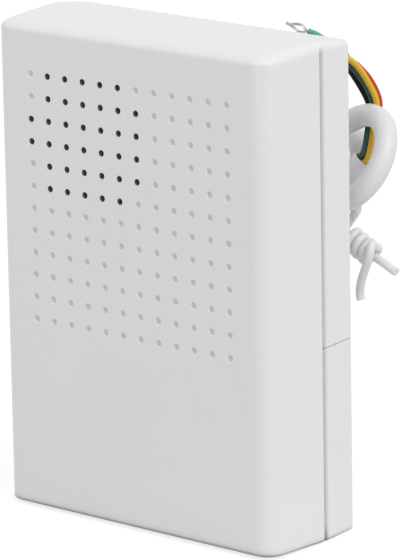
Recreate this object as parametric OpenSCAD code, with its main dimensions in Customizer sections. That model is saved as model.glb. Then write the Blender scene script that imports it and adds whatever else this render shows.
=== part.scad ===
// Wired doorbell chime box: two-part case, loudspeaker, circuit board, battery bay and a tied cable.
// Millimetres. X is to the right, the front faces -Y, Z is up, and the box stands on z = 0.

/* [Case] */
// Width of the front face
body_w = 84; // [80:1:100]
// Height of the case
body_h = 121; // [118:1:140]
// Depth of the case, front to back
body_d = 32; // [31:0.5:38]
// Depth of the front cover, from the front face to the seam
cover_d = 19.5; // [19.5:0.5:22]
// Wall thickness
wall = 2; // [1.6:0.1:2.4]
// How much wider each side of the cover is at the seam than at the front
cover_draft = 0.4; // [0.1:0.1:0.8]
// How much each side of the base draws in from the seam to the back
base_draft = 0.8; // [0.4:0.1:1.4]
// How much the top of the base draws in from the seam to the back
top_draft = 1.4; // [0.8:0.1:1.6]
// Radius of the upright front edges
side_r = 5; // [4:0.5:6]
// Radius of the top edges
top_r = 2.5; // [2.2:0.1:3]
// Radius of the bottom edges
bottom_r = 1.2; // [0.8:0.1:1.6]
// Radius of the edges round the back
back_r = 0.8; // [0.4:0.1:1]
// Radius of the upper corners at the back
back_corner = 1.5; // [1:0.1:2.5]
// Width of the base's rounded shoulder behind the seam
groove_w = 1.9; // [1:0.1:2.5]
// How far the shoulder steps in at the seam
groove_d = 0.9; // [0.6:0.1:1.2]
// Width of the lip that locates the base in the cover
lip_t = 1.4; // [1.2:0.1:1.8]
// Height of that lip
lip_h = 2.7; // [2.2:0.1:3]
// Clearance between pieces that fit together
fit = 0.2; // [0.15:0.05:0.3]

/* [Grille] */
// Dots in each row and each column
dots = 12; // [10:1:12]
// Distance from dot to dot
dot_pitch = 5.5; // [5:0.1:5.8]
// Distance from the top of the case to the first row
dot_top = 12.5; // [11:0.5:14]
// Diameter of the drilled dots
hole_d = 1.6; // [1.2:0.1:2]
// Diameter of the blind dots at the surface
dimple_d = 2; // [1.6:0.1:2.4]
// Depth of the blind dots
dimple_depth = 0.5; // [0.3:0.05:0.7]
// Radius of the drilled group
open_r = 18.4; // [17.5:0.1:19]

/* [Screws] */
// Thread diameter of the case screws
screw_d = 3; // [2.6:0.1:3.2]
// Length of the case screws under the head
screw_len = 10; // [8:0.5:12]
// Head diameter of the case screws
screw_head_d = 5.6; // [5:0.1:6]
// Head height of the case screws
screw_head_h = 1.8; // [1.4:0.1:2]
// Outer diameter of the screw bosses
boss_d = 6.5; // [6:0.1:7]
// Distance of the upper screws from the middle
upper_screw_x = 34.5; // [33.5:0.5:35]
// Distance of the upper screws below the top
upper_screw_top = 7; // [7:0.1:8]
// Distance of the lower screws from the middle
lower_screw_x = 24; // [18:0.5:27]
// Height of the lower screws
lower_screw_z = 7.5; // [7:0.1:8.5]

/* [Wall hanging] */
// Distance between the two keyholes
key_spacing = 50; // [44:1:52]
// Distance of the keyholes below the top
key_top = 16; // [15:0.5:20]
// Diameter of the round entry
key_d = 8; // [7:0.1:8.5]
// Width of the slot above it
key_slot = 4; // [3.5:0.1:4.4]
// Length of the slot, from the middle of the entry
key_rise = 7; // [6:0.5:8]

/* [Battery bay] */
// Height of the battery door
door_h = 48; // [47.5:0.5:52]
// Width of the battery bay, contact to contact
bay_w = 59; // [58:0.5:61]
// Height of the battery bay
bay_h = 31; // [30:0.5:31.5]
// Height of the underside of the bay above the bottom of the case
bay_z = 14.5; // [14:0.1:15]
// Depth of the bay from its floor to the inside of the door
bay_d = 14.5; // [14.4:0.1:15]
// Wall of the bay
bay_wall = 1.6; // [1.2:0.1:1.8]
// Thickness of the contact plates
contact_t = 0.4; // [0.3:0.05:0.5]
// Wire diameter of the contact springs
spring_wire = 0.7; // [0.5:0.05:0.8]
// Diameter of the springs at the contact
spring_d = 9; // [8:0.5:10]
// Diameter of the springs at the tip
spring_tip_d = 5; // [4.5:0.5:6]
// Length of the springs
spring_len = 7; // [6.5:0.5:8]
// Turns of each spring
spring_turns = 4; // [3:1:4]

/* [Speaker] */
// Diameter of the speaker
speaker_d = 40; // [39.6:0.1:40.4]
// Columns of dots from the first column to the middle of the speaker
speaker_col = 3.1; // [3.1:0.05:3.3]
// Rows of dots from the first row to the middle of the speaker
speaker_row = 2.5; // [2.5:0.05:2.7]
// Thickness of the gasket
gasket_t = 0.5; // [0.4:0.1:0.8]
// Width of the speaker's rim
rim_w = 2.4; // [2.2:0.1:2.6]
// Sheet thickness of the basket
sheet_t = 0.8; // [0.6:0.1:0.9]
// Depth of the basket
basket_depth = 7.5; // [7:0.1:8]
// Radius of the basket's floor
basket_floor_r = 12.5; // [12:0.1:13]
// Radius of the top plate
plate_r = 9; // [8.5:0.1:9.5]
// Thickness of the top plate and of the back plate
plate_t = 2; // [1.6:0.1:2.2]
// Radius of the magnet
magnet_r = 10; // [9.6:0.1:10.4]
// Thickness of the magnet
magnet_t = 5; // [4:0.1:5.4]
// Radius of the pole
pole_r = 4.3; // [4:0.1:4.5]
// Clearance each side of the voice coil in the gap
coil_gap = 0.3; // [0.25:0.05:0.4]
// Wall of the voice coil
coil_t = 0.4; // [0.3:0.05:0.5]
// Length of the voice coil
coil_len = 5; // [4.6:0.1:5.2]
// Travel of the cone each way
cone_travel = 0.5; // [0.3:0.05:0.5]

/* [Circuit board] */
// Width of the board
board_w = 27; // [26:0.5:27.5]
// Height of the board
board_h = 48; // [46:0.5:49]
// Thickness of the board
board_t = 1.6; // [1:0.1:1.6]
// Height of the posts that carry the board
post_h = 8; // [7:0.5:9]
// Diameter of those posts
post_d = 5.5; // [5:0.1:6]
// Distance of the board from the right inside wall
board_right = 2.5; // [2:0.1:3]
// Distance of the board from the top of the case
board_top = 13; // [12.5:0.5:14]
// Distance of the post holes from the edges of the board
board_hole = 3.5; // [3.2:0.1:4]
// Thread diameter of the board screws
board_screw_d = 2.2; // [2:0.1:2.5]

/* [Cable] */
// Diameter of the cable's jacket
cable_d = 5.6; // [5.2:0.05:5.7]
// Diameter of each core
core_d = 1.5; // [1.3:0.05:1.5]
// Diameter of a core's bare strands
strand_d = 0.8; // [0.6:0.05:1]
// Length of the bare strands
strand_len = 6; // [5:0.5:8]
// Diameter of the twist tie
tie_d = 2.1; // [1.9:0.05:2.1]
// Height of the grommet hole above the bottom of the case
grommet_z = 60; // [58:0.5:62]
// Distance of the grommet hole from the left inside wall of the cover
grommet_side = 8; // [7.5:0.1:8.5]
// Diameter of the grommet's neck
grommet_neck = 8; // [7.6:0.1:8.4]
// Diameter of the grommet's flanges
grommet_flange = 11; // [10:0.1:11.4]
// Thickness of each flange
grommet_flange_t = 1.5; // [1.2:0.1:1.8]

/* [Hidden] */
$fn = 48;

// Planes of the case, front to back
front_y = -body_d / 2;
inner_y = front_y + wall;
seam_y = front_y + cover_d;
plate_y = seam_y - wall;
back_y = body_d / 2;
back_in = back_y - wall;
// Half widths of the case and of the lip inside the cover
seam_hw = body_w / 2 + cover_draft;
back_hw = seam_hw - base_draft;
in_hw = body_w / 2 - wall;
lip_grow = cover_draft * (cover_d - lip_h) / cover_d - fit;
lip_hw = in_hw + lip_grow;
lip_top = body_h - wall + lip_grow;
cavity_hw = lip_hw - lip_t;
cavity_top = lip_top - lip_t;
// Least radius of the corners inside the case, and steps of the base's shoulder
inner_corner = 0.6;
shoulder_steps = 4;
// Makes a faceted ball reach its full radius along X, Y and Z
ball_fn = 32;
ball_full = 1 / cos(180 / ball_fn);
// Overlap of solids that are joined, and overshoot of cuts
eps = 0.05;
over = 1;
// Grille and speaker
grid_half = (dots - 1) / 2 * dot_pitch;
grid_top = body_h - dot_top;
spk_x = -grid_half + speaker_col * dot_pitch;
spk_z = grid_top - speaker_row * dot_pitch;
spk_r = speaker_d / 2;
ring_t = 1.2;
hook_gap = 0.1;
hook_t = 1.2;
hook_reach = 1;
hook_w = 5;
hook_angles = [70, 190, 310];
rim_in = spk_r - rim_w;
gap_r = pole_r + coil_t + 2 * coil_gap;
glue = 0.02;
surround = 0.5;
basket_step = basket_depth / 2;
window_w = 8;
window_edge = 1;
magnet_free = 0.7;
plate_edge = 0.5;
// Depths of the speaker's pieces
rim_y = inner_y + gasket_t;
floor_y = rim_y + basket_depth;
magnet_y = floor_y + plate_t;
rear_plate_y = magnet_y + magnet_t;
coil_rear = floor_y + plate_t + fit;
coil_r = pole_r + coil_gap;
// Cone, measured behind the front of the rim, and its dust cap
cone_t = 0.5;
cone_edge = 0.9;
cone_in = coil_r + coil_t + glue;
cone_out = rim_in - surround;
cone_depth = coil_rear - coil_len + fit - rim_y;
cone_front = fit + cone_travel;
cone_slope = (cone_depth - cone_front) / (cone_out - cone_edge - cone_in);
cap_edge = 0.6;
cap_r = cone_in + cap_edge;
cap_h = 1.75;
cap_t = 0.4;
cap_y = rim_y + cone_depth - cap_edge * cone_slope - glue;
// Terminal strip of the speaker
terminal_angle = 20;
terminal_r = magnet_r + 0.4;
terminal_len = 6.6;
terminal_w = 7;
terminal_t = 1;
lug_gap = 3.5;
lug_len = 2.6;
lug_w = 1.2;
lug_t = 0.4;
lug_edge = 0.4;
// Screws and bosses
screw_free = 0.4;
pilot_free = 0.1;
head_free = 0.8;
well_wall = 1.5;
pilot_end = 1;
slot_long = 0.55;
slot_wide = 0.15;
upper_screws = [for (s = [-1, 1]) [s * upper_screw_x, body_h - upper_screw_top]];
lower_screws = [for (s = [-1, 1]) [s * lower_screw_x, lower_screw_z]];
// Battery bay and door
bay_hw = bay_w / 2;
bay_floor = back_in - bay_d;
bay_clear = 1.8;
bay_rear = back_in - bay_clear;
bay_top = bay_z + bay_h;
door_top = door_h - fit;
door_front = seam_y + fit;
door_side = 1.5;
door_hw = back_hw - door_side;
door_lip_t = 1.2;
door_lip_w = 1.9;
slide_gap = 0.4;
rail_t = 1.5;
rail_x = door_hw - door_lip_w - slide_gap;
rail_y = door_front + door_lip_t + slide_gap;
tongue_w = 12;
tongue_t = 1.2;
tongue_rise = 3;
tongue_past = 1;
tongue_y = back_in - slide_gap - tongue_t;
tongue_pad = 0.3;
// Battery contacts
contact_h = 12;
contact_d = 11;
contact_lift = 1.2;
contact_x = bay_hw - contact_t;
contact_y = bay_floor + contact_d / 2 + contact_lift;
nipple_d = 5;
nipple_h = 0.8;
cell_z = [bay_z + bay_h / 4, bay_z + bay_h * 3 / 4];
tail_w = 2;
tail_out = 3;
tail_y = bay_floor - bay_wall - tail_out;
spring_foot = spring_wire * 1.2;
spring_rings = 8;
// Circuit board
board_x1 = in_hw - board_right;
board_x0 = board_x1 - board_w;
board_z1 = body_h - board_top;
board_z0 = board_z1 - board_h;
board_y0 = inner_y + post_h;
board_y1 = board_y0 + board_t;
posts = [[board_x0 + board_hole, board_z1 - board_hole], [board_x1 - board_hole, board_z1 - board_hole],
  [board_x1 - board_hole, board_z0 + board_hole]];
// Small parts on the board, and their places from its lower left corner
board_head_h = 1.2;
board_screw_len = post_h * 0.75;
pin_d = 0.6;
blob_u = 9.5;
blob_v = 26;
blob_r = 6.8;
blob_sunk = 5;
can_u = 20;
can_v = 20;
can_step = 10;
can_d = 6.3;
can_h = 11;
disc_u = 5;
disc_v = 35;
disc_d = 5;
disc_t = 2;
disc_rise = 3.6;
disc_pins = 2.5;
resistor_u = 11;
resistor_v = 9;
resistor_d = 2.3;
resistor_len = 6;
resistor_rise = 1.4;
resistor_step = 3.2;
resistor_pins = 8;
transistor_at = [[19, 12], [17, 42]];
transistor_d = 4.8;
transistor_rise = 3;
transistor_flat = 1;
transistor_pins = 1.27;
// Inside leads
lead_d = 1.2;
inner_core_gap = 1.6;
inner_end_len = 10;
lane_gap = 2.4;
lead_lift = 3;
// Grommet, sunk in a recess so that the back stays flat
grommet_x = in_hw - grommet_side;
sunk = grommet_flange_t + 0.1;
recess_d = grommet_flange + 2 * slide_gap;
grommet_seat = back_y - sunk;
grommet_in = grommet_seat - wall;
cable_out_y = grommet_seat + grommet_flange_t;
stop_wall = 1.3;
stop_w = 2.5;
stop_head = 4.4;
stop_rise = 3.6;
stop_y = grommet_in - grommet_flange_t - 1 - stop_w;
// Hank: its origin, tilt, lean and bend radius, and its bends' places along it, across it and behind the case
hank_x = -9.4;
hank_z = 64.8;
hank_tilt = 29;
hank_lean = 36;
hank_r = 11.2;
hank_stops = [[0, 1, 28.5], [28.4, 1, 24.8], [4, 0, 20], [46.8, 0, 13.9], [1, 7.3, 10.5]];
run_rings = 6;
bend_rings = 10;
hank_sides = 6;
cord_sides = 8;
core_step = 1.7;
core_stub = 1.5;
// How many times finer the points are on which the least gaps are measured
finer = 4;
// Twist tie: where one strand runs straight, and how the other winds round it
tie_from = [34.4, 9.2, 69];
tie_to = [41.5, 9.2, 65.6];
tie_turns = 3.75;
tie_before = 1.2;
tie_wound = 8.2;
tie_free = 0.2;
tie_steps = 30;

function unit(v) = v / norm(v);
function smoothstep(q) = q * q * (3 - 2 * q);
function last(p) = p[len(p) - 1];

// Points along a smooth curve through a route, with the given steps to each stretch
function stretch(a, b, c, d, q) =
  (2 * b + (c - a) * q + (2 * a - 5 * b + 4 * c - d) * q * q + (3 * b - a - 3 * c + d) * q * q * q) / 2;
function smooth_route(p, steps) = let (n = len(p) - 1) concat(
  [for (i = [0:n - 1], k = [0:steps - 1])
    stretch(p[max(i - 1, 0)], p[i], p[i + 1], p[min(i + 2, n)], k / steps)], [p[n]]);

// Straight end of a route, so that the tube's end is square, and a route the other way round
function stub(p, v) = [p, p + v / 2, p + v];
function backward(p) = [for (i = [len(p) - 1:-1:0]) p[i]];

// Directions along a route, and a side vector carried along it without twist
function headings(p) = [for (i = [0:len(p) - 1]) unit(p[min(i + 1, len(p) - 1)] - p[max(i - 1, 0)])];
function carried(t, n, i) = i == len(t) ? [] :
  let (m = unit(n - t[i] * (n * t[i]))) concat([m], carried(t, m, i + 1));

// One closed tube along a route, whose ends may be set square to a given direction
module tube(p, d, sides, start, end) {
  own = headings(p);
  t = [for (i = [0:len(p) - 1]) i == 0 && !is_undef(start) ? start :
    i == len(p) - 1 && !is_undef(end) ? end : own[i]];
  first = abs(t[0][2]) < 0.7 ? [0, 0, 1] : [0, 1, 0];
  n = carried(t, first, 0);
  rings = len(p);
  points = [for (i = [0:rings - 1], j = [0:sides - 1])
    p[i] + d / 2 * (n[i] * cos(360 * j / sides) + cross(t[i], n[i]) * sin(360 * j / sides))];
  walls = [for (i = [0:rings - 2], j = [0:sides - 1])
    let (a = i * sides, b = a + sides, k = (j + 1) % sides)
    each [[a + j, b + j, b + k], [a + j, b + k, a + k]]];
  z = (rings - 1) * sides;
  ends = [for (j = [1:sides - 2]) each [[0, j, j + 1], [z, z + j + 1, z + j]]];
  polyhedron(points, concat(walls, ends), convexity = 6);
}

// Least gap of a tube to itself, between points at least a given length apart along it
function route_at(p) = let (n = len(p))
  [for (i = 0, s = 0; i < n; i = i + 1, s = s + norm(p[min(i, n - 1)] - p[i - 1])) s];
function least_gap(p, d, apart) = let (s = route_at(p))
  min([for (i = [0:len(p) - 1], j = [i:len(p) - 1]) if (s[j] - s[i] > apart) norm(p[i] - p[j])]) - d;

// Plain solids used throughout
module block(x0, x1, y0, y1, z0, z1) translate([x0, y0, z0]) cube([x1 - x0, y1 - y0, z1 - z0]);
module rod(d, y0, y1, x, z) translate([x, y0, z]) rotate([-90, 0, 0]) cylinder(d = d, h = y1 - y0);
module at_speaker(y) translate([spk_x, y, spk_z]) rotate([-90, 0, 0]) children();
module ring(r0, r1, y0, y1) at_speaker(y0) difference() {
  cylinder(r = r1, h = y1 - y0);
  translate([0, 0, -over]) cylinder(r = r0, h = y1 - y0 + 2 * over);
}
module ball(rx, ry, rz) scale([rx, ry, rz]) sphere(r = ball_full, $fn = ball_fn);

// Corner shapes of the case
module front_corners(inset) {
  r = side_r - inset;
  for (s = [-1, 1]) {
    rt = max(top_r - inset, inner_corner);
    rb = max(bottom_r - inset, inner_corner);
    translate([s * (body_w / 2 - side_r), front_y + side_r, body_h - inset - rt]) ball(r, r, rt);
    translate([s * (body_w / 2 - side_r), front_y + side_r, inset + rb]) ball(r, r, rb);
  }
}
module seam_corners(inset, y0, y1) for (s = [-1, 1]) {
  rt = max(top_r - inset, inner_corner);
  rb = max(bottom_r - inset, inner_corner);
  rod(2 * rt, y0, y1, s * (seam_hw - inset - rt), body_h + cover_draft - inset - rt);
  rod(2 * rb, y0, y1, s * (seam_hw - inset - rb), inset + rb);
}
module cover_outer() hull() {
  front_corners(0);
  seam_corners(0, seam_y - eps, seam_y);
}
module cover_hollow() hull() {
  front_corners(wall);
  seam_corners(wall, seam_y, seam_y + over);
}
module base_outer() hull() {
  for (k = [0:shoulder_steps]) {
    a = 90 * k / shoulder_steps;
    y = seam_y + groove_w * (1 - cos(a));
    seam_corners(groove_d * (1 - sin(a)), y, y + eps);
  }
  for (s = [-1, 1]) {
    translate([s * (back_hw - back_corner), back_y - back_r, body_h + cover_draft - top_draft - back_corner])
      ball(back_corner, back_r, back_corner);
    translate([s * (back_hw - bottom_r), back_y - back_r, bottom_r]) ball(bottom_r, back_r, bottom_r);
  }
}

// Field of drilled and blind dots on the front
function dot_x(c) = -grid_half + c * dot_pitch;
function dot_z(r) = grid_top - r * dot_pitch;
function drilled(c, r) = norm([dot_x(c) - spk_x, dot_z(r) - spk_z]) < open_r;
module grille_dots() {
  dimple_r = (dimple_d * dimple_d / 4 + dimple_depth * dimple_depth) / (2 * dimple_depth);
  for (c = [0:dots - 1], r = [0:dots - 1])
    if (drilled(c, r)) rod(hole_d, front_y - over, inner_y + over, dot_x(c), dot_z(r));
    else translate([dot_x(c), front_y + dimple_depth - dimple_r, dot_z(r)]) sphere(r = dimple_r);
}
module speaker_seat() {
  ring(spk_r + fit, spk_r + fit + ring_t, inner_y - eps, rim_y + sheet_t);
  hook_y = rim_y + sheet_t + hook_gap;
  for (a = hook_angles) at_speaker(0) rotate(a) {
    translate([spk_r + fit, -hook_w / 2, inner_y - eps])
      cube([ring_t, hook_w, hook_y + hook_t - inner_y + eps]);
    translate([spk_r - hook_reach, -hook_w / 2, hook_y]) cube([hook_reach + fit + ring_t, hook_w, hook_t]);
  }
}
module front_cover() color("whitesmoke") {
  difference() {
    cover_outer();
    cover_hollow();
    grille_dots();
  }
  speaker_seat();
  for (p = concat(upper_screws, lower_screws)) difference() {
    rod(boss_d, inner_y - eps, plate_y, p[0], p[1]);
    rod(screw_d + pilot_free, seam_y - screw_len - pilot_end, plate_y + over, p[0], p[1]);
  }
  for (p = posts) difference() {
    rod(post_d, inner_y - eps, board_y0, p[0], p[1]);
    rod(board_screw_d + pilot_free, board_y0 - board_screw_len - pilot_end, board_y0 + over, p[0], p[1]);
  }
}

// Rear shell: upper box, plate behind the cover, battery bay and door rails
module rear_base() color("whitesmoke") difference() {
  union() {
    difference() {
      intersection() {
        base_outer();
        block(-body_w, body_w, seam_y, back_y + over, door_h, body_h + over * 2);
      }
      block(-cavity_hw, cavity_hw, seam_y - over, back_in, door_h + wall, cavity_top);
    }
    difference() {
      block(-lip_hw, lip_hw, seam_y - lip_h, seam_y + eps, door_h, lip_top);
      block(-cavity_hw, cavity_hw, seam_y - lip_h - over, seam_y + over, door_h + wall, cavity_top);
    }
    block(-lip_hw, lip_hw, plate_y, seam_y, wall + fit, door_h + wall);
    block(-bay_hw - bay_wall, bay_hw + bay_wall, bay_floor - bay_wall, bay_rear,
      bay_z - bay_wall, bay_top + bay_wall);
    for (m = [0, 1]) mirror([m, 0, 0]) {
      block(rail_x - rail_t, rail_x, seam_y - eps, rail_y + rail_t, bay_z, bay_top);
      block(rail_x - rail_t, door_hw - slide_gap, rail_y, rail_y + rail_t, bay_z, bay_top);
    }
    for (p = upper_screws)
      rod(screw_head_d + head_free + 2 * well_wall, plate_y, back_in + eps, p[0], p[1]);
    rod(recess_d + 2 * wall, grommet_in, back_in + eps, -grommet_x, grommet_z);
  }
  block(-bay_hw, bay_hw, bay_floor, back_y, bay_z, bay_top);
  for (p = upper_screws) {
    rod(screw_head_d + head_free, seam_y, back_y + over, p[0], p[1]);
    rod(screw_d + screw_free, plate_y - over, seam_y + over, p[0], p[1]);
  }
  for (p = lower_screws) rod(screw_d + screw_free, plate_y - over, seam_y + over, p[0], p[1]);
  for (s = [-1, 1]) {
    x = s * key_spacing / 2;
    z = body_h - key_top;
    rod(key_d, back_in - over, back_y + over, x, z);
    block(x - key_slot / 2, x + key_slot / 2, back_in - over, back_y + over, z, z + key_rise);
    rod(key_slot, back_in - over, back_y + over, x, z + key_rise);
  }
  rod(grommet_neck + fit, grommet_in - over, back_y + over, -grommet_x, grommet_z);
  rod(recess_d, grommet_seat, back_y + over, -grommet_x, grommet_z);
  block(-tongue_w / 2 - slide_gap, tongue_w / 2 + slide_gap, tongue_y - slide_gap, back_in,
    door_h - over, door_h + wall + over);
  for (z = cell_z) block(contact_x - fit, bay_hw + fit, bay_floor - bay_wall - over, bay_floor + over,
    z - tail_w / 2 - fit, z + tail_w / 2 + fit);
}

// Door that slides down over the battery bay
module battery_door() color("white") {
  difference() {
    intersection() {
      base_outer();
      block(-body_w, body_w, door_front, back_y + over, -over, door_top);
    }
    block(-door_hw, door_hw, door_front + door_lip_t, back_in, wall, door_h + over);
    block(-door_hw + door_lip_w, door_hw - door_lip_w, seam_y, back_in, wall, door_h + over);
  }
  block(-tongue_w / 2, tongue_w / 2, tongue_y, tongue_y + tongue_t,
    door_top - tongue_rise, door_h + wall + tongue_past);
  block(-tongue_w / 2, tongue_w / 2, tongue_y, back_in + eps, door_top - tongue_rise, door_top - tongue_pad);
}

module screw(d, head_d, head_h, len) {
  cylinder(d = head_d, h = head_h);
  translate([0, 0, -len]) cylinder(d = d, h = len + eps);
}
module cross_slot(head_d, head_h) translate([0, 0, head_h]) for (a = [0, 90]) rotate(a)
  cube([head_d * slot_long, head_d * slot_wide, head_h], center = true);
module case_screws() color("silver") for (p = concat(upper_screws, lower_screws))
  translate([p[0], seam_y, p[1]]) rotate([-90, 0, 0]) difference() {
    screw(screw_d, screw_head_d, screw_head_h, screw_len);
    cross_slot(screw_head_d, screw_head_h);
  }

// Loudspeaker, from the front to the back
module speaker_gasket() color("dimgray") ring(rim_in, spk_r - fit, inner_y, rim_y);
module speaker_basket() color("silver") at_speaker(rim_y) difference() {
  rotate_extrude() polygon([[rim_in, 0], [spk_r, 0], [spk_r, sheet_t], [rim_in + sheet_t, sheet_t],
    [rim_in + sheet_t, basket_step], [basket_floor_r, basket_depth], [gap_r + fit, basket_depth],
    [gap_r + fit, basket_depth - sheet_t], [basket_floor_r - sheet_t, basket_depth - sheet_t],
    [rim_in, basket_step]]);
  for (a = [45:90:315]) rotate(a) translate([basket_floor_r, -window_w / 2, sheet_t + window_edge])
    cube([spk_r, window_w, basket_depth - 2 * sheet_t - 2 * window_edge]);
}
module speaker_top_plate() color("silver") ring(gap_r, plate_r, floor_y, magnet_y);
module speaker_magnet() color("dimgray") ring(gap_r + magnet_free, magnet_r, magnet_y, rear_plate_y);
module speaker_back_plate() color("silver") {
  at_speaker(rear_plate_y) cylinder(r = plate_r + plate_edge, h = plate_t);
  at_speaker(floor_y) cylinder(r = pole_r, h = rear_plate_y - floor_y + eps);
}
module speaker_cone() color("dimgray") at_speaker(rim_y) rotate_extrude() polygon([
  [cone_in, cone_depth + cone_t], [cone_in, cone_depth],
  [cone_out - cone_edge, cone_front], [cone_out, cone_front],
  [cone_out, cone_front + cone_t], [cone_out - cone_edge + cone_t * cone_slope, cone_front + cone_t]]);
module voice_coil() color("peru") ring(coil_r, coil_r + coil_t, coil_rear - coil_len, coil_rear);
module dust_cap() color("black") {
  ball_r = (cap_r * cap_r + cap_h * cap_h) / (2 * cap_h);
  at_speaker(cap_y - cap_h) intersection() {
    difference() {
      translate([0, 0, ball_r]) sphere(r = ball_r);
      translate([0, 0, ball_r]) sphere(r = ball_r - cap_t);
    }
    cylinder(r = cap_r, h = cap_h);
  }
}
module speaker_terminals() color("peru") at_speaker(floor_y) rotate(terminal_angle) {
  translate([terminal_r, -terminal_w / 2, 0]) cube([terminal_len, terminal_w, terminal_t]);
  for (s = [-1, 1])
    translate([terminal_r + terminal_len - lug_edge - lug_len, (s * lug_gap - lug_w) / 2, terminal_t - eps])
      cube([lug_len, lug_w, lug_t + eps]);
}
function lug(s) =
  let (r = terminal_r + terminal_len - lug_edge - lug_len / 2, a = terminal_angle, w = s * lug_gap / 2)
  [spk_x + r * cos(a) - w * sin(a), floor_y + terminal_t + lug_t, spk_z - r * sin(a) - w * cos(a)];
module speaker_leads() color("firebrick") for (s = [-1, 1]) {
  a = lug(s);
  b = [board_x0 + 2, board_y1, a[2]];
  tube(smooth_route(concat(stub(a, [0, 2, 0]), [(a + b) / 2 + [0, 5, 0]], backward(stub(b, [0, 2, 0]))), 3),
    lead_d, cord_sides);
}

// Circuit board and what it carries, placed from its lower left corner
module on_board(u, v) translate([board_x0 + u, board_y1, board_z0 + v]) rotate([-90, 0, 0]) children();
module circuit_board() color("peru") difference() {
  block(board_x0, board_x1, board_y0, board_y1, board_z0, board_z1);
  for (p = posts) rod(board_screw_d + screw_free, board_y0 - over, board_y1 + over, p[0], p[1]);
}
module board_screws() color("silver") for (p = posts) translate([p[0], board_y1, p[1]]) rotate([-90, 0, 0])
  screw(board_screw_d, board_screw_d * 2, board_head_h, board_screw_len + board_t);
module melody_chip() color("black") on_board(blob_u, blob_v) intersection() {
  translate([0, 0, -blob_sunk]) sphere(r = blob_r);
  cylinder(r = blob_r, h = blob_r);
}
module capacitors() color("midnightblue") for (k = [0, 1])
  on_board(can_u, can_v + k * can_step) cylinder(d = can_d, h = can_h);
module ceramic_capacitor() color("darkorange") on_board(disc_u, disc_v) {
  translate([0, 0, disc_rise]) rotate([0, 90, 0]) cylinder(d = disc_d, h = disc_t, center = true);
  for (s = [-1, 1]) translate([0, s * disc_pins / 2, 0]) cylinder(d = pin_d, h = disc_rise);
}
module resistors() color("tan") for (k = [0:3]) on_board(resistor_u, resistor_v + k * resistor_step) {
  translate([0, 0, resistor_rise]) rotate([0, 90, 0]) {
    cylinder(d = resistor_d, h = resistor_len, center = true);
    cylinder(d = pin_d, h = resistor_pins + pin_d, center = true);
  }
  for (s = [-1, 1]) translate([s * resistor_pins / 2, 0, 0]) cylinder(d = pin_d, h = resistor_rise);
}
module transistors() color("black") for (p = transistor_at) on_board(p[0], p[1]) {
  translate([0, 0, transistor_rise]) difference() {
    cylinder(d = transistor_d, h = transistor_d);
    translate([-transistor_d, transistor_flat, -over])
      cube([2 * transistor_d, transistor_d, transistor_d + 2 * over]);
  }
  for (s = [-1:1]) translate([s * transistor_pins, 0, 0]) cylinder(d = pin_d, h = transistor_rise + eps);
}

// Battery contacts; the bay's left end links the two cells
module contact_plate(z0, z1)
  block(contact_x, bay_hw, contact_y - contact_d / 2, contact_y + contact_d / 2,
    z0 - contact_h / 2, z1 + contact_h / 2);
module contact_tail(z) block(contact_x, bay_hw, tail_y, contact_y, z - tail_w / 2, z + tail_w / 2);
module contact_nipple(z) translate([contact_x - nipple_h, contact_y, z]) rotate([0, 90, 0])
  cylinder(d = nipple_d, h = nipple_h + eps);
module link_contact() color("silver") mirror([1, 0, 0]) {
  contact_plate(cell_z[0], cell_z[1]);
  contact_nipple(cell_z[1]);
}
module plus_contact() color("silver") {
  contact_plate(cell_z[0], cell_z[0]);
  contact_tail(cell_z[0]);
  contact_nipple(cell_z[0]);
}
module minus_contact() color("silver") {
  contact_plate(cell_z[1], cell_z[1]);
  contact_tail(cell_z[1]);
}
function spring_route(s, z, rings) = let (n = spring_turns * rings) concat(
  [[s * contact_x, contact_y, z + spring_d / 2]],
  [for (i = [0:n])
    let (q = i / n, a = 360 * spring_turns * q, r = (spring_d + (spring_tip_d - spring_d) * q) / 2)
    [s * (contact_x - spring_foot - (spring_len - spring_foot) * q), contact_y + r * sin(a), z + r * cos(a)]]);
module contact_spring(s, z) tube(spring_route(s, z, spring_rings), spring_wire, hank_sides);
module link_spring() color("silver") contact_spring(-1, cell_z[0]);
module minus_spring() color("silver") contact_spring(1, cell_z[1]);
module battery_lead(z, u) {
  a = [bay_hw - contact_t / 2, tail_y, z];
  b = [board_x0 + u, board_y0, board_z0 + 3];
  c = [bay_hw + 2 + u / 4, inner_y + 4, board_z0 - 8];
  tube(smooth_route(concat(stub(a, [0, -3, 0]), [c], backward(stub(b, [0, -3, 0]))), 4), lead_d, cord_sides);
}
module plus_lead() color("firebrick") battery_lead(cell_z[0], 16);
module minus_lead() color("black") battery_lead(cell_z[1], 10);

// Cable entry
module cable_grommet() color("gainsboro") difference() {
  union() {
    rod(grommet_flange, grommet_seat, cable_out_y, -grommet_x, grommet_z);
    rod(grommet_neck, grommet_in - eps, grommet_seat + eps, -grommet_x, grommet_z);
    rod(grommet_flange, grommet_in - grommet_flange_t, grommet_in, -grommet_x, grommet_z);
  }
  rod(cable_d + 2 * glue, grommet_in - grommet_flange_t - over, cable_out_y + over, -grommet_x, grommet_z);
}
module cable_inner_end() color("white")
  rod(cable_d, back_in - inner_end_len, cable_out_y, -grommet_x, grommet_z);
module cable_stop_tie() color("gainsboro") difference() {
  union() {
    rod(cable_d + 2 * stop_wall, stop_y, stop_y + stop_w, -grommet_x, grommet_z);
    block(-grommet_x - stop_head / 2, -grommet_x + stop_head / 2, stop_y, stop_y + stop_w,
      grommet_z, grommet_z + cable_d / 2 + stop_rise);
  }
  rod(cable_d + 2 * glue, stop_y - over, stop_y + stop_w + over, -grommet_x, grommet_z);
}
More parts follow.
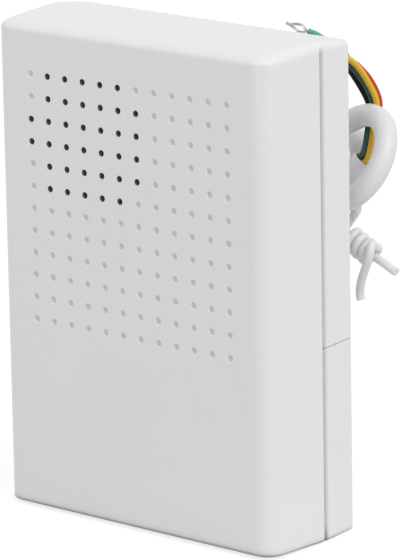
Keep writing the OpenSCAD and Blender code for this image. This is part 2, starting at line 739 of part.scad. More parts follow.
// Each inner lead keeps its own lane: left or right, and upper or lower, in the cable's bundle.
// All of them pass in front of the plate behind the cover, above its upper edge.
inner_lanes = [[-1, 1], [-1, -1], [1, 1], [1, -1]];
module inner_leads() color("goldenrod") for (k = [0:3]) {
  side = inner_lanes[k][0];
  high = inner_lanes[k][1];
  lane_y = plate_y - fit - lead_d / 2 - lane_gap * (1 - side) / 2;
  lane_z = door_h + wall + lead_lift;
  a = [-grommet_x, back_in - inner_end_len, grommet_z] + inner_core_gap / 2 * [side, 0, high];
  b = [board_x0 + 2.5 + 2.5 * k, board_y1, board_z0 + 2.5];
  tube(smooth_route(concat(stub(a, [0, side - 4, 0]),
    [[6 - grommet_x, lane_y, grommet_z - 1.4 + 1.2 * high], [24 - grommet_x, lane_y, lane_z + 2.5 + 1.5 * high],
      [b[0] - 5, lane_y, max(b[2] - 4.8, lane_z) + 0.8 * high]],
    backward(stub(b, [0, 3, 0]))), 3), lead_d, cord_sides);
}

// Cable outside the case: a free stretch, a hank of two turns, and a tail.
// Depths count from the back of the case.
function behind(route) = [for (p = route) p + [0, back_y, 0]];
function on_hank(s, w, y) = [hank_x + s * cos(hank_tilt) - w * cos(hank_lean) * sin(hank_tilt),
  back_y + y + w * sin(hank_lean), hank_z + s * sin(hank_tilt) + w * cos(hank_lean) * cos(hank_tilt)];
function hank_sign(i) = i % 2 == 0 ? -1 : 1;
function hank_run(i, q) = let (a = hank_stops[i], b = hank_stops[i + 1], k = smoothstep(q))
  on_hank(a[0] + (b[0] - a[0]) * q, hank_sign(i) * hank_r + a[1] + (b[1] - a[1]) * k,
    a[2] + (b[2] - a[2]) * k);
function hank_bend(i, q) = let (b = hank_stops[i + 1], a = hank_sign(i) * 90 + 180 * q)
  on_hank(b[0] + hank_r * cos(a), b[1] + hank_r * sin(a), b[2]);
function hank_route(runs, bends) = concat(
  [for (i = [0:len(hank_stops) - 2]) each concat(
    [for (k = [0:runs - 1]) hank_run(i, k / runs)], [for (k = [0:bends - 1]) hank_bend(i, k / bends)])],
  [hank_bend(len(hank_stops) - 2, 1)]);
hank_points = hank_route(run_rings, bend_rings);
hank_heading = [cos(hank_tilt), 0, sin(hank_tilt)];
lead_route = concat(stub([-grommet_x, cable_out_y, grommet_z], [0, cable_d, 0]),
  behind([[-31.5, 9.4, 59.6], [-29.9, 13.2, 58.7], [-27.2, 16.6, 57.4], [-23.6, 19.3, 56], [-19.3, 21.2, 54.9],
    [-14.7, 22.2, 54.5], [-10, 22.6, 55.4]]), [hank_points[0]]);
tail_route = [for (p = [[1, -3.9, 10.5], [6, -3.7, 10.7], [11, -3.5, 11.2], [16, -3.4, 12], [21, -3.5, 13.2],
  [25.5, -3.9, 14.4], [29.5, -4.3, 15.1], [33.5, -4.6, 15.8], [37.4, -4.7, 16.2], [40.9, -4.35, 16.5],
  [44.35, -3.3, 16.7], [47.5, -1.6, 16.8]]) on_hank(p[0], p[1], p[2])];
module cable_lead() color("white") tube(smooth_route(lead_route, 2), cable_d, cord_sides, end = hank_heading);
module cable_hank() color("white") tube(hank_points, cable_d, hank_sides, hank_heading, hank_heading);
module cable_tail() color("white")
  tube(smooth_route(tail_route, 2), cable_d, cord_sides, start = hank_heading, end = core_up);
echo(hank_least_gap = least_gap(hank_route(finer * run_rings, finer * bend_rings), cable_d, 4 * cable_d));
echo(spring_least_gap = least_gap(spring_route(1, 0, finer * spring_rings), spring_wire, 4 * spring_wire));

// Cores, from the end of the jacket up behind the hank and over behind the case
jacket_end = last(tail_route);
core_up = unit(jacket_end - tail_route[len(tail_route) - 2]);
core_across = unit(cross([0, 1, 0], core_up));
core_deep = cross(core_up, core_across);
// Way of the yellow core, and where a core on its left and a core behind it lie from it
core_way = [[33.5, 18.3, 90.5], [30.4, 23.2, 93.7], [30.4, 24.6, 98.9], [28.7, 23.3, 104.2], [26.2, 21, 109]];
core_left = [[-1.65, 0, 0.1], [-1.65, 0.2, -0.1], [-1.5, 0.4, -0.6], [-1.4, 0.5, -0.7], [-1.4, 0.5, -0.7]];
core_behind = [[0, 1.2, -1.2], [0, 1.4, -1], [-0.4, 1.6, 0], [-0.4, 1.6, 0], [-0.7, 2.4, -1.2]];
core_far_left = [[-1.65, 1.4, -1.3], [-1.7, 1.7, -1.2], [-3.1, 1.1, -1.2], [-3.2, 0.9, -1.4],
  [-3.2, 0.9, -1.4]];
// A core starts in a square bundle in the jacket
function core_route(start, place, ending) =
  let (a = jacket_end + core_step / 2 * (start[0] * core_across + start[1] * core_deep))
  concat([a, a + core_stub * core_up],
    behind([for (i = [0:len(core_way) - 1]) core_way[i] + (is_undef(place) ? [0, 0, 0] : place[i])]),
    behind(ending));
black_route = core_route([-1, 1], core_far_left, [[18.6, 20.4, 109.2], [13.2, 19, 109], [7.6, 18, 107.6]]);
green_route = core_route([-1, -1], core_left,
  [[22.9, 22, 110.5], [20.2, 21.4, 112.2], [18.2, 20.6, 113.4], [15.9, 20, 114.7], [13.8, 19.4, 115.4]]);
yellow_route = core_route([1, -1], undef, [[22.2, 19.2, 111.2], [17, 17.6, 111.8], [11.5, 16.4, 110.6]]);
red_route = core_route([1, 1], core_behind, [[22.3, 25, 107.9], [17.5, 25.5, 108.4], [12, 25, 108]]);
core_routes = [black_route, green_route, yellow_route, red_route];
module core(route) tube(smooth_route(route, 3), core_d, cord_sides, start = core_up);
module core_black() color("black") core(black_route);
module core_green() color("darkgreen") core(green_route);
module core_yellow() color("gold") core(yellow_route);
module core_red() color("red") core(red_route);
module core_tips() color("silver") for (r = core_routes) {
  a = last(r);
  heading = last(headings(smooth_route(r, 2)));
  tube([a, a + heading * strand_len / 2, a + heading * strand_len], strand_d, cord_sides);
}

// Twist tie: a free end, the winding, round the strands, straight through the winding, the other free end
tie_axis = unit(tie_to - tie_from);
tie_up = cross(tie_axis, [0, 1, 0]);
tie_front = cross(tie_axis, tie_up);
tie_winding = [for (k = [0:tie_steps]) let (q = k / tie_steps, a = 90 + 360 * tie_turns * q)
  tie_from + tie_axis * (tie_wound * q - tie_before)
    + (tie_d + tie_free) * (tie_up * cos(a) + tie_front * sin(a))];
tie_straight = [for (k = [0:4]) tie_from + (tie_to - tie_from) * k / 4];
tie_end_one = [[42.5, 6.8, 69.5], [42.8, 5.7, 68.2], [42.3, 5.5, 65.8], [40.7, 6, 62.7], [39.2, 6.5, 59.4],
  [38.5, 7, 56.8], [38.8, 7, 55.1]];
tie_end_two = [[43.8, 9.2, 64.6], [46, 9.2, 63.6], [47.8, 9.2, 62.8]];
tie_loop = [[33, 6.2, 71.2], [33.4, 5.1, 73.4], [34.2, 3.7, 76.1], [32.9, 3.2, 77.6], [30.4, 4.7, 80.1],
  [28.1, 7.6, 81.8], [25.9, 10.5, 83.6], [24.8, 13, 84.7], [25.2, 16.3, 84.1], [26.3, 18.3, 81.9],
  [29, 17.1, 78.9], [31.9, 14, 77.2], [34.2, 11.9, 75.8], [32.7, 11.3, 73.2], [32.1, 9.9, 71]];
tie_route = behind(concat(backward(tie_end_one), backward(tie_winding), tie_loop, tie_straight, tie_end_two));
module twist_tie() color("white") tube(smooth_route(tie_route, 2), tie_d, cord_sides);

front_cover();
rear_base();
battery_door();
case_screws();
speaker_gasket();
speaker_basket();
speaker_top_plate();
speaker_magnet();
speaker_back_plate();
speaker_cone();
voice_coil();
dust_cap();
speaker_terminals();
speaker_leads();
circuit_board();
board_screws();
melody_chip();
capacitors();
ceramic_capacitor();
resistors();
transistors();
link_contact();
plus_contact();
minus_contact();
link_spring();
minus_spring();
plus_lead();
minus_lead();
cable_grommet();
cable_inner_end();
cable_stop_tie();
inner_leads();
cable_lead();
cable_hank();
cable_tail();
core_black();
core_green();
core_yellow();
core_red();
core_tips();
twist_tie();
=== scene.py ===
"""Doorbell chime box: camera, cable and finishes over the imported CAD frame.

Lengths are written in millimetres, and MM turns them into metres.
"""
from math import cos, hypot, pi, radians, sin

import bpy
from mathutils import Matrix, Vector


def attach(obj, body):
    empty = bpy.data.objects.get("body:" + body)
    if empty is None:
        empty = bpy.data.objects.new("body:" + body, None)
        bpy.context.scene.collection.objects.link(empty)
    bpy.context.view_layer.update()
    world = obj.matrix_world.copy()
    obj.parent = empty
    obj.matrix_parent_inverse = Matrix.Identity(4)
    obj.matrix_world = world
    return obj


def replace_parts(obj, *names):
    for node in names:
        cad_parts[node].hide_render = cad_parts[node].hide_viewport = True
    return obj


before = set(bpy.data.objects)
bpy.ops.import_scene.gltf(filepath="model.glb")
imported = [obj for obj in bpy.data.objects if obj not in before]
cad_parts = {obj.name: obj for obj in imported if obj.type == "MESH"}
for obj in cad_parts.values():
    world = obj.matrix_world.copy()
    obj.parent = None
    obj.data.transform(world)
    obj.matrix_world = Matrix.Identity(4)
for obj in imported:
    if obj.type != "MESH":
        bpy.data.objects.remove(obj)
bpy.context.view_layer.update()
scene = bpy.context.scene
MM = 0.001

# Places of the case and what is in it, the same as in the part's source; the speaker's are counted in dots
FRONT_Y = -16
FRONT_WALL = 2
BACK_Y = 16
DOTS = 12
DOT_PITCH = 5.5
DOT_LEFT = -DOT_PITCH * (DOTS - 1) / 2
DOT_TOP = 108.5
SPEAKER_COLUMN = 3.1
SPEAKER_ROW = 2.5
SPEAKER_X = DOT_LEFT + SPEAKER_COLUMN * DOT_PITCH
SPEAKER_Z = DOT_TOP - SPEAKER_ROW * DOT_PITCH
BOARD_LEFT = 10.5
BOARD_FRONT_Y = -6
BOARD_BACK_Y = -4.4
LOWER_CELL_Z = 22.25
UPPER_CELL_Z = 37.75
CONTACT_X = 29.1
CONTACT_Y = 6.2
GROMMET_X = -32
GROMMET_Z = 60
CABLE_OUT_Y = 15.9

# Thickness of the cable, its cores, the leads inside, the tie and the springs
CABLE_D = 5.6
CORE_D = 1.5
STRAND_D = 0.27
LEAD_D = 1.2
TIE_D = 2.1
SPRING_WIRE = 0.7

# Camera: its place and its own axes, fitted to the photograph's edges and dots
CAMERA_PLACE = (681.0, -800.0, 333.2)
CAMERA_RIGHT = (0.7681, 0.6401, -0.0175)
CAMERA_UP = (-0.1488, 0.2050, 0.9674)
CAMERA_BACK = (0.6228, -0.7404, 0.2527)
CAMERA_LENS = 291.03


def make_camera():
    data = bpy.data.cameras.new("camera")
    data.sensor_width = 36
    data.lens = CAMERA_LENS
    data.clip_start = 0.05
    data.clip_end = 20
    camera = bpy.data.objects.new("camera", data)
    scene.collection.objects.link(camera)
    camera.rotation_euler = Matrix((CAMERA_RIGHT, CAMERA_UP, CAMERA_BACK)).transposed().to_euler()
    camera.location = Vector(CAMERA_PLACE) * MM
    scene.camera = camera


make_camera()


# Materials
class Finish:
    """A Principled material with colour, roughness and relief from textures in the piece's own space."""

    def __init__(self, name, rough, metallic=0.0, specular=0.5, **sockets):
        self.material = bpy.data.materials.new(name)
        self.material.use_nodes = True
        self.tree = self.material.node_tree
        self.shader = self.tree.nodes["Principled BSDF"]
        self.shader.inputs["Roughness"].default_value = rough
        self.shader.inputs["Metallic"].default_value = metallic
        self.shader.inputs["Specular IOR Level"].default_value = specular
        for socket, value in sockets.items():
            self.shader.inputs[socket.replace("_", " ")].default_value = value
        self.coords = self.tree.nodes.new("ShaderNodeTexCoord").outputs["Object"]

    def node(self, kind, links=(), **values):
        made = self.tree.nodes.new("ShaderNode" + kind)
        for socket, value in values.items():
            made.inputs[socket.replace("_", " ")].default_value = value
        for socket, source in dict(links).items():
            self.tree.links.new(source, made.inputs[socket])
        return made

    def along(self, axis):
        return self.node("SeparateXYZ", {"Vector": self.coords}).outputs[axis]

    def slanted(self, direction):
        """The place along a slanted direction."""
        made = self.node("VectorMath", {0: self.coords})
        made.operation = "DOT_PRODUCT"
        made.inputs[1].default_value = direction
        return made.outputs["Value"]

    def stretched(self, scale):
        return self.node("Mapping", {"Vector": self.coords}, Scale=scale).outputs["Vector"]

    def noise(self, size, detail=3.0, scale=None, rough=0.55):
        """Noise with cells of a size in millimetres."""
        vector = self.stretched(scale) if scale else self.coords
        return self.node("TexNoise", {"Vector": vector}, Scale=1 / (size * MM), Detail=detail,
                         Roughness=rough).outputs["Fac"]

    def cells(self, size):
        return self.node("TexVoronoi", {"Vector": self.coords}, Scale=1 / (size * MM)).outputs["Distance"]

    def span(self, source, low, high, start=0.3, stop=0.7):
        made = self.node("MapRange", {"Value": source})
        for socket, value in zip(("From Min", "From Max", "To Min", "To Max"), (start, stop, low, high)):
            made.inputs[socket].default_value = value
        return made.outputs["Result"]

    def fade(self, source, start, stop):
        """From 0 at the first place to 1 at the second, both in millimetres."""
        return self.span(source, 0, 1, start * MM, stop * MM)

    def greater(self, first, second):
        made = self.node("Math", {0: first, 1: second})
        made.operation = "MAXIMUM"
        return made.outputs[0]

    def between(self, source, first, second):
        """A mix of two colours, each of them fixed or the output of a node."""
        made = self.tree.nodes.new("ShaderNodeMix")
        made.data_type = "RGBA"
        for socket, colour in zip((made.inputs[6], made.inputs[7]), (first, second)):
            if isinstance(colour, tuple):
                socket.default_value = (*colour, 1)
            else:
                self.tree.links.new(colour, socket)
        self.tree.links.new(source, made.inputs[0])
        return made.outputs[2]

    def steps(self, source, stops):
        made = self.tree.nodes.new("ShaderNodeValToRGB")
        ramp = made.color_ramp
        ramp.interpolation = "CONSTANT"
        while len(ramp.elements) < len(stops):
            ramp.elements.new(1.0)
        for element, (place, colour) in zip(ramp.elements, stops):
            element.position, element.color = place, (*colour, 1)
        self.tree.links.new(source, made.inputs["Fac"])
        return made.outputs["Color"]

    def colour(self, source):
        self.tree.links.new(source, self.shader.inputs["Base Color"])
        return self

    def roughness(self, source):
        self.tree.links.new(source, self.shader.inputs["Roughness"])
        return self

    def relief(self, source, depth, strength=1.0):
        """Bump of a depth in millimetres; a second call lies over the first."""
        bump = self.node("Bump", {"Height": source}, Distance=depth * MM, Strength=strength)
        normal = self.shader.inputs["Normal"]
        if normal.is_linked:
            self.tree.links.new(normal.links[0].from_socket, bump.inputs["Normal"])
        self.tree.links.new(bump.outputs["Normal"], normal)
        return self


def tint(colour, factor):
    return tuple(min(1.0, c * factor) for c in colour)


def plain(name, colour, rough, grain, vary=0.05, spread=0.06, depth=0.01, **sockets):
    """A finish with fine grain and slow unevenness of one colour; grain and depth in millimetres."""
    f = Finish(name, rough, **sockets)
    fine, slow = f.noise(grain, 4.0), f.noise(grain * 14, 2.0)
    f.colour(f.between(slow, tint(colour, 1 - vary), tint(colour, 1 + vary)))
    f.roughness(f.span(fine, rough - spread, rough + spread))
    return f.relief(fine, depth).material


# Painted shade along the foot of the white plastic, for the dark underside of its bottom edge:
# layers of (height where it ends, tone), lower towards the back
FOOT_SHADE_LAYERS = ((2.2, 0.70), (1.2, 0.18))
FOOT_SHADE_FULL = 0.26
FOOT_SHADE_SLANT = (0, 0.032, 1)

# Painted shade on the sides just behind the seam, in its groove, darker at the foot and gone below the top
SEAM_SHADE = (0.49, 0.49, 0.495)
SEAM_SHADE_AT_FOOT = (0.1, 0.1, 0.1)
SEAM_SHADE_FOOT = (0.5, 4.5)
SEAM_SHADE_TOP = (118.3, 120.3)


def moulded_white(name, level=1.0, seam=None):
    """Satin white plastic: spark-eroded grain, faint flow unevenness, slight handling marks in the gloss.

    The level darkens the whole colour, as painted shade in the dimples and holes. The foot gets painted
    shade, most at the front. With a seam, so do the sides just behind it: most at its first depth and no more
    at its second, in millimetres, and darker at the foot.
    """
    f = Finish(name, 0.42, specular=0.4)
    flow, grain, wear = f.noise(28, 2.0), f.noise(0.28, 3.0), f.noise(7, 5.0, (1, 1, 0.35))
    tone = f.between(flow, tint((0.845, 0.847, 0.851), level), tint((0.870, 0.872, 0.874), level))
    # Painted shade along the foot, darkest at the bottom edge and reaching higher at the front
    for top, grey in FOOT_SHADE_LAYERS:
        tone = f.between(f.fade(f.slanted(FOOT_SHADE_SLANT), FOOT_SHADE_FULL, top), tint((grey,) * 3, level), tone)
    # Painted shade in the seam's groove
    if seam:
        unshaded = f.greater(f.fade(f.along("Y"), *seam), f.fade(f.along("Z"), *SEAM_SHADE_TOP))
        seam_shade = f.between(f.fade(f.along("Z"), *SEAM_SHADE_FOOT), SEAM_SHADE_AT_FOOT, SEAM_SHADE)
        tone = f.between(unshaded, seam_shade, tone)
    f.colour(tone)
    f.roughness(f.span(wear, 0.37, 0.47))
    return f.relief(grain, 0.012, 0.6).relief(f.noise(16, 1.0), 0.02, 0.5).material


TIP_FADE = (112.5, 114.6)


def soft_plastic(name, colour, rough=0.36, vary=0.06, tip=None, specular=0.5):
    """Extruded soft plastic: drawn unevenness of a few millimetres and a fine skin.

    A tip is the colour that it fades to at the top.
    """
    f = Finish(name, rough, specular=specular)
    slow, skin = f.noise(5, 2.0), f.noise(0.35, 3.0)
    tone = f.between(slow, tint(colour, 1 - vary), tint(colour, 1 + vary))
    if tip:
        tone = f.between(f.fade(f.along("Z"), *TIP_FADE), tone, tip)
    f.colour(tone)
    f.roughness(f.span(skin, rough - 0.07, rough + 0.07))
    return f.relief(skin, 0.006).relief(slow, 0.05, 0.6).material


def plated(name, colour, rough, scale=(1, 1, 1)):
    """Plated sheet or wire: fine draw lines, cloudy gloss."""
    f = Finish(name, rough, metallic=1.0)
    lines, cloud = f.noise(0.12, 2.0, scale), f.noise(2.5, 3.0)
    f.colour(f.between(cloud, tint(colour, 0.86), tint(colour, 1.06)))
    f.roughness(f.span(cloud, rough - 0.06, rough + 0.1))
    return f.relief(lines, 0.004).material


COIL_PITCH = 0.22


def wound_copper():
    f = Finish("coil_copper", 0.32, metallic=1.0)
    turns = f.node("TexWave", {"Vector": f.coords}, Scale=1 / (pi * COIL_PITCH * MM))
    turns.bands_direction = "Y"
    f.colour(f.between(turns.outputs["Fac"], (0.42, 0.17, 0.06), (0.83, 0.45, 0.24)))
    f.roughness(f.span(f.noise(0.6), 0.26, 0.4))
    return f.relief(turns.outputs["Fac"], 0.06).material


def pressed_paper(name, colour):
    f = Finish(name, 0.85, specular=0.25)
    fibre, pulp = f.noise(0.18, 5.0, (1, 3, 1)), f.noise(1.6, 3.0)
    f.colour(f.between(pulp, tint(colour, 0.7), tint(colour, 1.5)))
    f.roughness(f.span(fibre, 0.76, 0.95))
    return f.relief(fibre, 0.03).relief(pulp, 0.06).material


def closed_foam():
    f = Finish("foam", 0.9, specular=0.2)
    cell = f.cells(0.35)
    f.colour(f.between(cell, (0.035, 0.035, 0.036), (0.13, 0.13, 0.13)))
    f.roughness(f.span(f.noise(0.5), 0.82, 0.97))
    return f.relief(cell, 0.08).material


def fired_ferrite():
    f = Finish("ferrite", 0.6, specular=0.45)
    grit, chips = f.noise(0.2, 5.0), f.cells(1.4)
    f.colour(f.between(grit, (0.05, 0.05, 0.055), (0.13, 0.13, 0.14)))
    f.roughness(f.span(grit, 0.48, 0.72))
    return f.relief(grit, 0.02).relief(chips, 0.015).material


def laminate():
    f = Finish("board_laminate", 0.5)
    weave, cloud = f.noise(0.25, 3.0, (1, 1, 4)), f.noise(6, 3.0)
    f.colour(f.between(cloud, (0.36, 0.19, 0.07), (0.52, 0.31, 0.13)))
    f.roughness(f.span(weave, 0.42, 0.58))
    return f.relief(weave, 0.015).material


RESISTOR_X = 21.5
RESISTOR_HALF = 3
TAN = (0.62, 0.44, 0.25)
BROWN = (0.25, 0.1, 0.03)
INK = (0.02, 0.02, 0.02)
CRIMSON = (0.6, 0.03, 0.02)
GOLD = (0.65, 0.45, 0.12)
BANDS = ((0.2, 0.29, BROWN), (0.37, 0.46, INK), (0.54, 0.63, CRIMSON), (0.78, 0.86, GOLD))


def banded_lacquer():
    """Resistor bodies with their colour bands, which run round the X axis."""
    f = Finish("tan_lacquer", 0.35)
    stops = [(0, TAN)]
    for start, stop, band in BANDS:
        stops += [(start, band), (stop, TAN)]
    place = f.fade(f.along("X"), RESISTOR_X - RESISTOR_HALF, RESISTOR_X + RESISTOR_HALF)
    f.colour(f.steps(place, stops))
    f.roughness(f.span(f.noise(0.5), 0.28, 0.42))
    return f.relief(f.noise(0.7), 0.02).material


# Every white plastic finish has painted shade along its foot
CASE = moulded_white("case_plastic")
# The case behind the seam, with painted shade in the seam's groove
SEAM = moulded_white("case_plastic_seam_shade", seam=(3.9, 5.4))
# Dimples and drilled holes: the white plastic darkened all over, as painted shade in the recesses
DIMPLE_SHADE = moulded_white("case_plastic_dimple_shade", 0.76)
HOLE_SHADE = moulded_white("case_plastic_hole_shade", 0.25)
JACKET = soft_plastic("cable_jacket", (0.80, 0.80, 0.82), 0.34, 0.025)
TIE = soft_plastic("tie_coating", (0.82, 0.82, 0.84), 0.3, 0.02)
BLACK = soft_plastic("black_insulation", (0.006, 0.007, 0.008), 0.42, 0.3, specular=0.22)
GREEN = soft_plastic("green_insulation", (0.012, 0.085, 0.058), 0.36, 0.15, tip=(0.11, 0.42, 0.37))
YELLOW = soft_plastic("yellow_insulation", (0.77, 0.46, 0.014), 0.36)
RED = soft_plastic("red_insulation", (0.48, 0.032, 0.016), 0.36)
STEEL = plated("steel", (0.60, 0.60, 0.61), 0.34)
CONTACT = plated("contact_metal", (0.74, 0.73, 0.71), 0.22, (1, 6, 1))
TINNED = plated("tinned_strands", (0.66, 0.65, 0.62), 0.3)
PAPER = pressed_paper("cone_paper", (0.035, 0.034, 0.033))
COPPER = wound_copper()
FOAM = closed_foam()
FERRITE = fired_ferrite()
LAMINATE = laminate()
RESIN = plain("black_plastic", (0.022, 0.022, 0.024), 0.3, 0.9, 0.3, 0.1, 0.03)
SLEEVE = plain("blue_sleeve", (0.018, 0.028, 0.13), 0.28, 0.4, 0.15)
STRIPE = plain("sleeve_stripe", (0.55, 0.57, 0.62), 0.32, 0.4)
CERAMIC = plain("orange_ceramic", (0.62, 0.2, 0.025), 0.4, 0.6, 0.12, 0.1, 0.04)
RESISTOR = banded_lacquer()
RUBBER = plain("soft_rubber", (0.70, 0.70, 0.69), 0.6, 0.3, 0.04, 0.08, 0.015)
NYLON = plain("nylon", (0.72, 0.71, 0.66), 0.4, 0.5, 0.04, 0.08, 0.01, Subsurface_Weight=0.15)
CORE_FINISH = {"black": BLACK, "green": GREEN, "yellow": YELLOW, "red": RED}


# Routes, the same as in the part's source
def stretch(a, b, c, d, q):
    return (2 * b + (c - a) * q + (2 * a - 5 * b + 4 * c - d) * q * q + (3 * b - a - 3 * c + d) * q ** 3) / 2


def smooth_route(points, steps):
    p = [Vector(x) for x in points]
    n = len(p) - 1
    return [stretch(p[max(i - 1, 0)], p[i], p[i + 1], p[min(i + 2, n)], k / steps)
            for i in range(n) for k in range(steps)] + [p[n]]


def stub(p, v):
    p, v = Vector(p), Vector(v)
    return [p, p + v / 2, p + v]


def smoothstep(q):
    return q * q * (3 - 2 * q)


def behind(route):
    """Points whose depth counts from the back of the case."""
    return [Vector(p) + Vector((0, BACK_Y, 0)) for p in route]


def turn(n):
    return [2 * pi * k / n for k in range(n)]


# Hank: its origin, tilt, lean and bend radius, and its bends' places along it, across it and behind the case
HANK_X = -9.4
HANK_Z = 64.8
HANK_TILT = radians(29)
HANK_LEAN = radians(36)
HANK_R = 11.2
HANK_STOPS = [(0, 1, 28.5), (28.4, 1, 24.8), (4, 0, 20), (46.8, 0, 13.9), (1, 7.3, 10.5)]
HANK_RUN_STEPS = 24
HANK_BEND_STEPS = 40


def on_hank(s, w, y):
    rise = w * cos(HANK_LEAN)
    return Vector((HANK_X + s * cos(HANK_TILT) - rise * sin(HANK_TILT), BACK_Y + y + w * sin(HANK_LEAN),
                   HANK_Z + s * sin(HANK_TILT) + rise * cos(HANK_TILT)))


def hank_run(i, q):
    (s0, w0, y0), (s1, w1, y1) = HANK_STOPS[i:i + 2]
    k, r = smoothstep(q), HANK_R if i % 2 else -HANK_R
    return on_hank(s0 + (s1 - s0) * q, r + w0 + (w1 - w0) * k, y0 + (y1 - y0) * k)


def hank_bend(i, q):
    s, w, y = HANK_STOPS[i + 1]
    a = radians((90 if i % 2 else -90) + 180 * q)
    return on_hank(s + HANK_R * cos(a), w + HANK_R * sin(a), y)


# Pieces, all of which ride on the case
def add_piece(name, data, material):
    data.materials.append(material)
    piece = bpy.data.objects.new(name, data)
    scene.collection.objects.link(piece)
    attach(piece, "case")
    return piece


def wire(name, routes, diameter, material):
    """A round wire along one route, or several side by side in one piece."""
    data = bpy.data.curves.new(name, "CURVE")
    data.dimensions = "3D"
    data.bevel_depth = diameter / 2 * MM
    data.bevel_resolution = 5
    data.use_fill_caps = True
    for points in routes:
        spline = data.splines.new("POLY")
        spline.points.add(len(points) - 1)
        for made, p in zip(spline.points, points):
            made.co = (*(Vector(p) * MM), 1)
        spline.use_smooth = True
    return add_piece(name, data, material)


def lathe(name, centre, axis, profile, material, sides=48):
    """A closed profile of (radius, height) turned about an axis."""
    axis = Vector(axis).normalized()
    u = axis.orthogonal().normalized()
    v = axis.cross(u)
    n = len(profile)
    points = [Vector(centre) + axis * h + (u * cos(a) + v * sin(a)) * r
              for a in turn(sides) for r, h in profile]
    faces = [(k * n + j, (k + 1) % sides * n + j, (k + 1) % sides * n + (j + 1) % n, k * n + (j + 1) % n)
             for k in range(sides) for j in range(n)]
    data = bpy.data.meshes.new(name)
    data.from_pydata([p * MM for p in points], [], faces)
    data.shade_smooth()
    return add_piece(name, data, material)


# Cable: from the grommet into the hank, and its end inside the hank's right loop
hank = [place(i, k / n) for i in range(len(HANK_STOPS) - 1)
        for place, n in ((hank_run, HANK_RUN_STEPS), (hank_bend, HANK_BEND_STEPS)) for k in range(n)]
lead = stub((GROMMET_X, CABLE_OUT_Y, GROMMET_Z), (0, CABLE_D, 0)) + behind([
    (-31.5, 9.4, 59.6), (-29.9, 13.2, 58.7), (-27.2, 16.6, 57.4), (-23.6, 19.3, 56), (-19.3, 21.2, 54.9),
    (-14.7, 22.2, 54.5), (-10, 22.6, 55.4)]) + [hank[0]]
tail = [on_hank(*p) for p in (
    (1, -3.9, 10.5), (6, -3.7, 10.7), (11, -3.5, 11.2), (16, -3.4, 12), (21, -3.5, 13.2), (25.5, -3.9, 14.4),
    (29.5, -4.3, 15.1), (33.5, -4.6, 15.8), (37.4, -4.7, 16.2), (40.9, -4.35, 16.5), (44.35, -3.3, 16.7),
    (47.5, -1.6, 16.8))]
jacket = smooth_route(lead, steps=8)[:-1] + hank + smooth_route(tail, steps=8)
jacket_end = tail[-1]
JACKET_RIM_R = 2.45
JACKET_RIM_EDGE = 0.33
JACKET_RIM_POINTS = 10

# Cores: the yellow one's way, and the others' places beside it
core_up = (jacket_end - tail[-2]).normalized()
core_across = Vector((0, 1, 0)).cross(core_up).normalized()
core_deep = core_up.cross(core_across)
CORE_STEP = 1.7
CORE_STUB = 1.5
CORE_WAY = [(33.5, 18.3, 90.5), (30.4, 23.2, 93.7), (30.4, 24.6, 98.9), (28.7, 23.3, 104.2), (26.2, 21, 109)]
CORE_PLACES = {
    "black": [(-1.65, 1.4, -1.3), (-1.7, 1.7, -1.2), (-3.1, 1.1, -1.2), (-3.2, 0.9, -1.4), (-3.2, 0.9, -1.4)],
    "green": [(-1.65, 0, 0.1), (-1.65, 0.2, -0.1), (-1.5, 0.4, -0.6), (-1.4, 0.5, -0.7), (-1.4, 0.5, -0.7)],
    "yellow": [(0, 0, 0)] * len(CORE_WAY),
    "red": [(0, 1.2, -1.2), (0, 1.4, -1), (-0.4, 1.6, 0), (-0.4, 1.6, 0), (-0.7, 2.4, -1.2)],
}


def core_route(name, start, ending):
    a = jacket_end + CORE_STEP / 2 * (start[0] * core_across + start[1] * core_deep)
    way = [Vector(p) + Vector(q) for p, q in zip(CORE_WAY, CORE_PLACES[name])]
    return [a, a + CORE_STUB * core_up] + behind(way) + behind(ending)


core_routes = {
    "black": core_route("black", (-1, 1), [(18.6, 20.4, 109.2), (13.2, 19, 109), (7.6, 18, 107.6)]),
    "green": core_route("green", (-1, -1), [(22.9, 22, 110.5), (20.2, 21.4, 112.2), (18.2, 20.6, 113.4),
                                            (15.9, 20, 114.7), (13.8, 19.4, 115.4)]),
    "yellow": core_route("yellow", (1, -1), [(22.2, 19.2, 111.2), (17, 17.6, 111.8), (11.5, 16.4, 110.6)]),
    "red": core_route("red", (1, 1), [(22.3, 25, 107.9), (17.5, 25.5, 108.4), (12, 25, 108)]),
}

# Bare strands: six round one, twisted; the green core's part in the middle and meet again before the tip
STRANDS = 7
STRAND_STEPS = 16
STRAND_LENGTH = 6
STRAND_SUNK = 0.3
STRAND_TWIST = pi * 1.5
STRAND_OPENING = {"green": 1.9}
STRAND_CLOSING = 1.15


def strands(start, heading, opening):
    """Routes of the strands at a core's end; with an opening, two bundles part and come together again."""
    side = heading.cross(Vector((0, 1, 0))).normalized()
    other = heading.cross(side)
    made = []
    for k in range(STRANDS):
        r = STRAND_D if k else 0.0
        half = opening / 2 if k % 2 else -opening / 2
        route = []
        for i in range(STRAND_STEPS + 1):
            q = i / STRAND_STEPS
            a = pi / 3 * k + STRAND_TWIST * q
            apart = half * sin(pi * min(1, q * STRAND_CLOSING)) ** 2
            along = (STRAND_LENGTH + STRAND_SUNK) * q - STRAND_SUNK
            route.append(start + heading * along + side * (r * cos(a) + apart) + other * r * sin(a))
        made.append(route)
    return made


def make_core(name, route):
    points = smooth_route(route, steps=6)
    core = wire("core_" + name + "_wire", [points], CORE_D, CORE_FINISH[name])
    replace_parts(core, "core_" + name)
    heading = (points[-1] - points[-2]).normalized()
    ends = strands(points[-1], heading, STRAND_OPENING.get(name, 0))
    tip = wire("strands_" + name, ends, STRAND_D, TINNED)
    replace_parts(tip, "core_tips")


